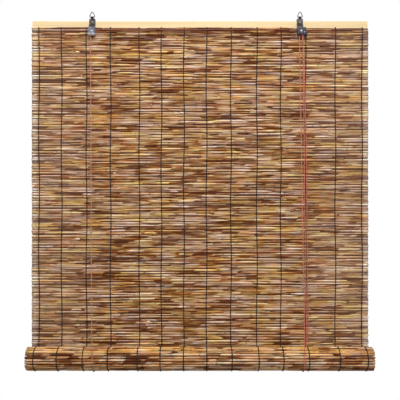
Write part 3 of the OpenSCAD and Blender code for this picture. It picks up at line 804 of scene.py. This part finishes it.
def front_stems(name, first, last, low, high):
    """The stems in front, from one row to another, between two tones."""
    rows = [((0, MAT_Y, MAT_TOP - (i + 0.5) * PITCH), i, 0) for i in range(first, last)]
    return grow(name, row_points(name, rows), STEMS, Width=MAT_W, Reed_radius=REED_R * 1.07,
                Radius_spread=0.3, Shift=2.5 * MM, Bend=2.6 * MM, Taper=0.45, Tone_low=low, Tone_high=high,
                Finish=reed_finish, **SHOWN_STEMS)


def reed_rows(name, first, last):
    """The front stems and dark stems behind them; those and the top rows are darkened as painted shade."""
    # The stems behind take tones far below the ramp's: painted shade in the joints between the rows.
    behind = [((0, DARK_Y, MAT_TOP - i * PITCH), DARK_ROW + i, 0) for i in range(max(first, 1), last)]
    dark = grow(name + "_dark", row_points(name, behind), STEMS, Width=MAT_W - 2 * MM, Reed_radius=3.15 * MM,
                Radius_spread=0.1, Shift=0.5 * MM, Lap=9 * MM, Bend=0.6 * MM, Edge_spread=2 * MM,
                Joint_spread=0.8, Stems=3, Sides=6, Segments=4, Seed=19, Tone_low=-2.6, Tone_high=-0.6,
                Finish=reed_finish)
    zones = [(first, last, 0, 1)]
    if first == 0:
        # The top two rows take near-black tones and the next three darker ones: painted shade below the head
        # rail.
        zones = [(0, 2, -4.4, -2), (2, 5, -1.6, 0.8), (5, last, 0, 1)]
    piece = join(name, [front_stems(name, *zone) for zone in zones] + [dark])
    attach(piece, "frame")
    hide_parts("reed_mat")
    print(name, triangles(piece), "triangles")
    return piece


reed_rows("upper_reeds", 0, KEPT_ROWS)
lower_reeds = reed_rows("lower_reeds", KEPT_ROWS, ROWS)
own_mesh(lower_reeds)

# %% [markdown]
# ## The roll
# The rolled end follows the part's spiral: the outer turn keeps its radius while it leaves the mat at the
# back, goes down and round the front, and then steps inside the next turn. The rows are set along that
# spiral one pitch apart, and the same tree lays the stems, so that the ends of the roll show every turn.

# %% The roll
ROLL_R = 29.6 * MM
TURN_PITCH = 6.6 * MM
STEP_START, STEP_END = 200, 340
ROLL_END = 3 * 360 + STEP_START


def turn_r(a):
    """The radius of the spiral at an angle in degrees; each turn ends with a smooth step inwards."""
    s = min(1, max(0, (a % 360 - STEP_START) / (STEP_END - STEP_START)))
    return ROLL_R - TURN_PITCH * (a // 360 + s * s * (3 - 2 * s))


def on_roll(r, a, x=0.0):
    """A point at a radius and an angle round the roll's axis."""
    t = math.radians(a)
    return (x, AXIS.y + r * math.cos(t), AXIS.z - r * math.sin(t))


roll_turns = []
turn = math.degrees((FIT + PITCH / 2) / ROLL_R)
while turn < ROLL_END:
    roll_turns.append(turn)
    turn += math.degrees(PITCH / turn_r(turn))
rows = [(on_roll(turn_r(a), a), ROLL_ROW + i, -math.radians(a)) for i, a in enumerate(roll_turns)]
roll_reeds = grow("roll_reeds", row_points("roll_reeds", rows), STEMS, Width=MAT_W + 3 * MM,
                  Reed_radius=REED_R * 1.05, Radius_spread=0.2, Shift=0.9 * MM, Bend=1.6 * MM, Taper=0.5,
                  Finish=roll_finish, **SHOWN_STEMS)
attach(roll_reeds, "roll")
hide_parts("reed_roll")
print("roll:", len(rows), "rows", triangles(roll_reeds), "triangles")

# %% [markdown]
# ## Binding threads
# The mat is twined: two dark threads run down together, and between every two reeds they change places, one
# in front and one behind. From the front that gives a line of short slanting stitches. Each thread is a path
# that swings from the front of one row to the back of the next, swept as a thin round yarn.

# %% Thread finish
thread_finish, tree, shader = new_finish("dark_thread")
yarn = noise(tree, own_place(tree, (1500, 1500, 1500)), 2.0)
shade = ramp(tree, yarn, [(0.3, chart(16, 9, 9)), (0.7, chart(40, 25, 22))])
tree.links.new(shade, shader.inputs["Base Color"])
shader.inputs["Roughness"].default_value = 0.85
rough_skin(tree, shader, yarn, 0.6, 0.3 * MM)
print("thread finish:", thread_finish.name)

# %% Threads of the mat and of the roll
THREAD_SHARES = (-0.956, -0.822, -0.674, -0.531, -0.36, -0.229, -0.095,
                 0.039, 0.184, 0.338, 0.48, 0.627, 0.804, 0.962)
THREAD_R = 1.4 * MM
THREAD_OUT = REED_R + 0.3 * MM
SWAY = 0.5 * MM
STITCH_STEPS = 6
WANDER = 1.2 * MM
SHOWN_TURN = 330


def swing(position, phase):
    """Out and aside of a thread at a row position: in front on one row, behind on the next."""
    t = math.pi * (position - 0.5 + phase)
    c = math.cos(t)
    return THREAD_OUT * math.copysign(abs(c) ** 0.6, c), SWAY * math.sin(t)


def mat_thread(x, phase, first, last):
    """A thread's way down the mat, from one row position to another."""
    made = []
    for i in range(int((last - first) * STITCH_STEPS) + 1):
        position = first + i / STITCH_STEPS
        out, aside = swing(position, phase)
        aside += WANDER * math.sin(position / 7 + x * 90)
        made.append((x + aside, MAT_Y - out, MAT_TOP - position * PITCH))
    return made


def roll_thread(x, phase):
    """A thread's way round the outer turn of the roll."""
    made = []
    shown = [a for a in roll_turns if a < SHOWN_TURN]
    for i in range((len(shown) - 1) * STITCH_STEPS + 1):
        position = 0.25 + i / STITCH_STEPS
        low = max(0, math.floor(position - 0.5))
        a = shown[low] + (shown[low + 1] - shown[low]) * (position - 0.5 - low)
        out, aside = swing(position, phase)
        made.append(on_roll(turn_r(a) + out, a, x + aside))
    return made


def lay_threads(name, body, node, paths):
    """Threads in place of their plain solids."""
    piece = grow(name, chains(name, paths), SWEEP, Radius=THREAD_R, Sides=5, Finish=thread_finish)
    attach(piece, body)
    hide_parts(node)
    print(name, triangles(piece), "triangles")
    return piece


threads = [(share * MAT_W / 2, phase) for share in THREAD_SHARES for phase in (0, 1)]
upper_paths = [mat_thread(x, phase, 0, KEPT_ROWS - 1 + phase / 2) for x, phase in threads]
lower_paths = [mat_thread(x, phase, KEPT_ROWS - 1 + phase / 2, ROWS - 1 + phase / 2) for x, phase in threads]
lay_threads("upper_threads", "frame", "mat_threads", upper_paths)
lower_threads = lay_threads("lower_threads", "frame", "mat_threads", lower_paths)
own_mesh(lower_threads)
lay_threads("roll_stitches", "roll", "roll_threads", [roll_thread(x, phase) for x, phase in threads])

# %% [markdown]
# ## Pale wood
# The head rail is a planed lath of pale softwood: creamy yellow, with faint growth lines that run along it
# and wander a little. Stretched noise gives the lines, and a second, wider noise the warm patches. The rod
# in the roll is of the same wood.

# %% Wood finish
wood_finish, tree, shader = new_finish("pale_planed_wood")
lines = noise(tree, own_place(tree, (3, 260, 330)), 4.0, 0.6)
patch = noise(tree, own_place(tree, (5, 20, 30)), 1.0)
grain = ramp(tree, lines, [(0.30, chart(209, 181, 132)), (0.52, chart(226, 203, 156)),
                           (0.75, chart(233, 215, 175))])
warm = blend(tree, times(tree, patch, 0.35), grain, chart(229, 195, 146))
tree.links.new(warm, shader.inputs["Base Color"])
shader.inputs["Roughness"].default_value = 0.62
rough_skin(tree, shader, lines, 0.25, 0.5 * MM)
for node in ("headrail", "bottom_rod"):
    coat_solid(node, wood_finish)
    print(wood_finish.name, "on", node)

# %% [markdown]
# ## Plated steel
# The straps are thin zinc-plated sheet: a blotchy grey with a crystal pattern. Handling has browned the
# plate on the rail. The rolled eye is painted near-black, as painted shade. The left strap's folded cheeks
# keep a bluish shine and have a painted highlight at their foot. The cord lock is duller, and worn paler
# where it folds over the mat. Screws, rivets and wheels are brighter. Voronoi cells make the crystals, noise
# makes the tarnish, and the height on the strap picks the zone.

# %% Steel finishes
ZONE_EDGE = 0.8 * MM


def plated(name, zones, rough_low, rough_high):
    """Blotchy plated steel; each zone is the height at which it starts, its dark and its bright colour."""
    finish, tree, shader = new_finish(name)
    crystal = add_node(tree, "ShaderNodeTexVoronoi", Vector=own_place(tree, (420, 420, 420)), Scale=1.0)
    cloud = noise(tree, own_place(tree, (160, 160, 160)), 4.0)
    spot = sums(tree, "MULTIPLY_ADD", crystal.outputs["Color"], 0.35, times(tree, cloud, 0.65))
    height = parts_of(tree, own_coordinates(tree))["Z"]
    coat = None
    for start, dark, bright in zones:
        zone = ramp(tree, spot, [(0.3, dark), (0.7, bright)])
        above = ranged(tree, height, start, start + ZONE_EDGE)
        coat = zone if coat is None else blend(tree, above, coat, zone)
    tree.links.new(coat, shader.inputs["Base Color"])
    tree.links.new(ranged(tree, cloud, 0.0, 1.0, rough_low, rough_high), shader.inputs["Roughness"])
    shader.inputs["Metallic"].default_value = 1.0
    rough_skin(tree, shader, cloud, 0.2, 0.3 * MM)
    return finish


FOOT_Z, FOOT_GLINT_Z, FOLD_Z, PLATE_Z, NECK_Z = -1, -20.8 * MM, -8.6 * MM, -4 * MM, 20.6 * MM
# The zone above the neck height is near-black: painted shade in the rolled eye.
SHADED_NECK = (NECK_Z, chart(26, 25, 26), chart(60, 58, 58))
# The left strap's lowest zone, up to the foot height, is a painted highlight at the foot of its cheeks.
left_strap = plated("zinc_strap", [
    (FOOT_Z, chart(104, 106, 112), chart(188, 188, 192)), (FOOT_GLINT_Z, chart(58, 64, 78), chart(128, 132, 141)),
    (PLATE_Z, chart(46, 43, 42), chart(98, 93, 91)), SHADED_NECK], 0.3, 0.5)
lock_strap = plated("lock_strap", [
    (FOOT_Z, chart(44, 44, 50), chart(86, 84, 90)), (FOLD_Z, chart(62, 59, 60), chart(134, 129, 128)),
    (PLATE_Z, chart(49, 46, 45), chart(104, 99, 96)), SHADED_NECK], 0.34, 0.5)
wire_finish = plated("ring_wire", [(FOOT_Z, chart(58, 60, 64), chart(108, 110, 114))], 0.25, 0.4)
screw_finish = plated("screw_steel", [(FOOT_Z, chart(92, 90, 90), chart(148, 146, 146))], 0.3, 0.46)
bright_finish = plated("bright_steel", [(FOOT_Z, chart(150, 152, 156), chart(206, 208, 212))], 0.2, 0.36)
BRIGHT = ("mat_staples", "left_wheel", "right_wheel", "left_axle", "right_axle", "lock_roller")
for finish, nodes in ((left_strap, ("left_hanger",)), (lock_strap, ("right_hanger",)),
                      (screw_finish, ("left_screw", "right_screw")), (bright_finish, BRIGHT)):
    for node in nodes:
        coat_solid(node, finish)
    print(finish.name, "on", *nodes)

# %% [markdown]
# ## Wire rings
# Each ring is a piece of round wire bent into a triangle, its base lying in the strap's rolled eye. The path
# is three short arcs joined by straight runs, and the tree that makes the cords sweeps a plain round wire
# along it.

# %% Wire rings
RING_WIRE = 2.2 * MM
RING_H, RING_W, BEND_R = 14 * MM, 13.4 * MM, 2.6 * MM
BEND_STEPS = 12
EYE_Y, EYE_Z = middle("left_ring").y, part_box("left_ring")[0].z + RING_WIRE / 2


def ring_path(x):
    """The wire's way round a ring, through its three bends."""
    base = RING_W / 2 - BEND_R
    slope = math.degrees(math.atan2(base, RING_H - 2 * BEND_R))
    bends = [((base, BEND_R), -90, slope), ((0, RING_H - BEND_R), slope, 180 - slope),
             ((-base, BEND_R), 180 - slope, 270)]
    made = []
    for (bx, bz), start, end in bends:
        for i in range(BEND_STEPS + 1):
            t = math.radians(start + (end - start) * i / BEND_STEPS)
            made.append((x + bx + BEND_R * math.cos(t), EYE_Y, EYE_Z + bz + BEND_R * math.sin(t)))
    return made


for side in ("left", "right"):
    x = middle(side + "_ring").x
    wire = grow(side + "_ring_wire", chains(side, [ring_path(x)], closed=True), SWEEP, Radius=RING_WIRE / 2,
                Sides=16, Finish=wire_finish)
    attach(wire, side + "_ring_body")
    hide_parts(side + "_ring")
    print(wire.name, triangles(wire), "triangles")

# %% [markdown]
# ## Floor, background and light
# A studio picture of a blind has a white background and broad soft light from above and in front. A third
# lamp lights the back. The floor and the world look white to the camera and in reflections, and give a plain
# grey-white light to the object.


# %% Floor and background
def white_to_camera(tree, lit, target):
    """Pure white for the camera and for reflections, and the lit shader for all other light."""
    path = add_node(tree, "ShaderNodeLightPath").outputs
    mirrored = sums(tree, "MAXIMUM", path["Is Glossy Ray"], path["Is Transmission Ray"])
    seen = sums(tree, "MAXIMUM", path["Is Camera Ray"], mirrored)
    is_world = target.node.bl_idname == "ShaderNodeOutputWorld"
    white = add_node(tree, "ShaderNodeBackground" if is_world else "ShaderNodeEmission", Color=(1, 1, 1, 1),
                     Strength=1.0)
    mix = add_node(tree, "ShaderNodeMixShader", i0=seen, i1=lit, i2=white.outputs[0])
    tree.links.new(mix.outputs[0], target)


FLOOR_Z, FLOOR_HALF = -1.3, 6
corners = [(x * FLOOR_HALF, y * FLOOR_HALF, FLOOR_Z) for x, y in ((-1, -1), (1, -1), (1, 1), (-1, 1))]
floor_mesh = bpy.data.meshes.new("studio_floor")
floor_mesh.from_pydata(corners, [], [(0, 1, 2, 3)])
floor = bpy.data.objects.new("studio_floor", floor_mesh)
bpy.context.scene.collection.objects.link(floor)
floor_finish, tree, shader = new_finish("pale_floor")
shader.inputs["Base Color"].default_value = (0.17, 0.166, 0.162, 1)
shader.inputs["Roughness"].default_value = 0.9
white_to_camera(tree, shader.outputs[0], tree.nodes["Material Output"].inputs["Surface"])
floor_mesh.materials.append(floor_finish)

world = bpy.data.worlds.new("studio")
bpy.context.scene.world = world
world.use_nodes = True
lit = world.node_tree.nodes["Background"]
lit.inputs["Color"].default_value = (1.0, 0.98, 0.96, 1)
lit.inputs["Strength"].default_value = 0.43
white_to_camera(world.node_tree, lit.outputs[0], world.node_tree.nodes["World Output"].inputs["Surface"])
print("floor at", FLOOR_Z, "m")


# %% Lamps
def soft_lamp(name, place, target, size, power):
    """A square lamp at a place, turned to a target."""
    data = bpy.data.lights.new(name, "AREA")
    data.size = size
    data.energy = power
    lamp = bpy.data.objects.new(name, data)
    lamp.location = place
    lamp.rotation_euler = (Vector(target) - Vector(place)).to_track_quat("-Z", "Y").to_euler()
    bpy.context.scene.collection.objects.link(lamp)
    print(name, power, "W")


soft_lamp("key_above", (-0.1, -1.45, 1.75), (0, 0, -0.5), 1.2, 72)
soft_lamp("fill_front", (1.4, -2.4, -0.2), (0, 0, -0.45), 1.6, 10)
soft_lamp("fill_back", (-0.9, 2.2, 0.8), (0, 0, -0.45), 1.6, 24)

# %% [markdown]
# ## Colour view
# The render keeps colours as they are, with the Standard view transform.

# %% Colour view
bpy.context.scene.view_settings.view_transform = "Standard"
